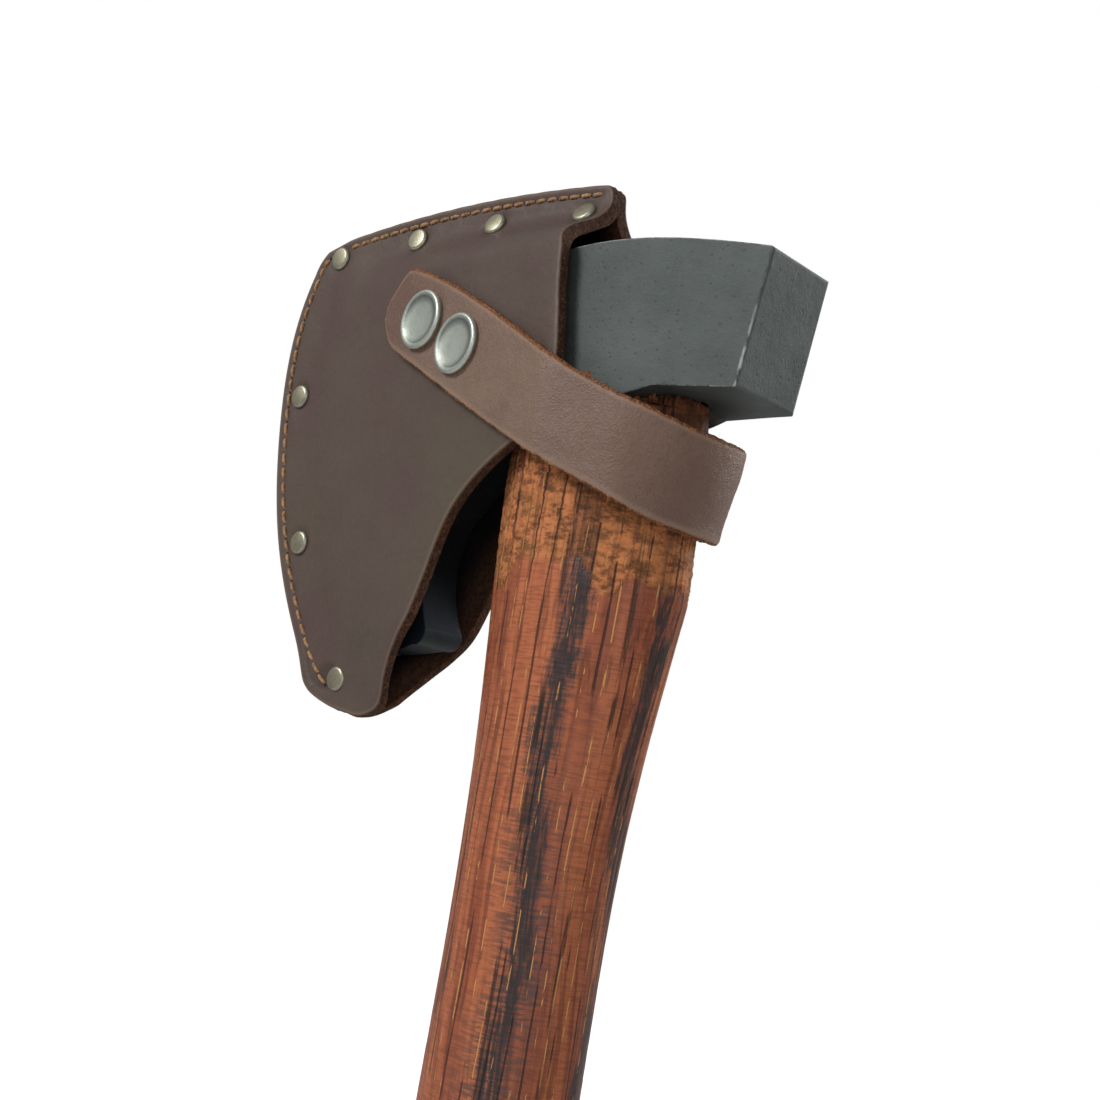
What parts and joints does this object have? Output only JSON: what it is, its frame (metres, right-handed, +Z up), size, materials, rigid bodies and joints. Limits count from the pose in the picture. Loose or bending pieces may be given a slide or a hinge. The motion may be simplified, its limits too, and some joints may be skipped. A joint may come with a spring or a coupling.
{
  "type": "hatchet",
  "caption": "Bearded hatchet with a wooden handle, in a riveted leather blade sheath with a snap strap round the handle.",
  "frame": {"origin": "on the butt's end face, under the handle's axis at the eye", "axes": "+Z up along the handle, -X towards the cutting edge, +X towards the poll"},
  "size_m": [0.1496, 0.0454, 0.395],
  "materials": {
    "forged_steel": "matte dark grey coating, fine speckle, worn edges",
    "stained_wood": "flamed and oiled, satin, dark streaks along the grain",
    "wedge_wood": "plain dry wood",
    "wedge_steel": "plain mill steel",
    "sheath_leather": "smooth oiled, dark grey-brown, raw cut edges",
    "strap_leather": "fine pebbled grain, warm brown, raw cut edges",
    "thread": "waxed tan thread",
    "rivet_metal": "pale nickel-brass, satin",
    "snap_metal": "antique nickel, mottled"
  },
  "bodies": {
    "axe": {"axe_head": "forged_steel", "handle": "stained_wood", "wood_wedge": "wedge_wood", "steel_wedge": "wedge_steel"},
    "sheath": {"near_panel": "sheath_leather", "far_panel": "sheath_leather", "sheath_thread": "thread", "rivet_caps": "rivet_metal", "rivet_posts": "rivet_metal", "strap_anchor": "strap_leather", "strap_rivet_caps": "rivet_metal", "strap_rivet_posts": "rivet_metal", "snap_studs": "snap_metal", "snap_posts": "snap_metal"},
    "strap_far_leg": {"strap_far": "strap_leather"},
    "strap_loop": {"strap_rear": "strap_leather"},
    "strap_near_leg": {"strap_near": "strap_leather"},
    "strap_end": {"strap_tip": "strap_leather", "snap_caps": "snap_metal", "snap_sockets": "snap_metal"}
  },
  "joints": [
    {"name": "sheath_slide", "type": "slide", "parent": "axe", "child": "sheath", "axis": [-1, 0, 0], "range_m": [0, 0.06]},
    {"name": "strap_root_bend", "type": "hinge", "parent": "sheath", "child": "strap_far_leg", "pos_m": [-0.004, 0.0227, 0.339], "axis": [0, 0, 1], "range_deg": [0, 50]},
    {"name": "strap_far_bend", "type": "hinge", "parent": "strap_far_leg", "child": "strap_loop", "pos_m": [0.02402, 0.01391, 0.328], "axis": [0, 0, 1], "range_deg": [0, 155]},
    {"name": "strap_near_bend", "type": "hinge", "parent": "strap_loop", "child": "strap_near_leg", "pos_m": [0.02402, -0.01391, 0.328], "axis": [0, 0, 1], "range_deg": [0, 174]},
    {"name": "strap_open", "type": "hinge", "parent": "strap_near_leg", "child": "strap_end", "pos_m": [-0.004, -0.0227, 0.339], "axis": [0, 0, 1], "range_deg": [0, 45]}
  ],
  "couplings": [
    {"joint": "strap_root_bend", "follows": "sheath_slide", "rad_per_m": 12.508},
    {"joint": "strap_far_bend", "follows": "sheath_slide", "rad_per_m": 43.051},
    {"joint": "strap_near_bend", "follows": "sheath_slide", "rad_per_m": 48.869}
  ]
}
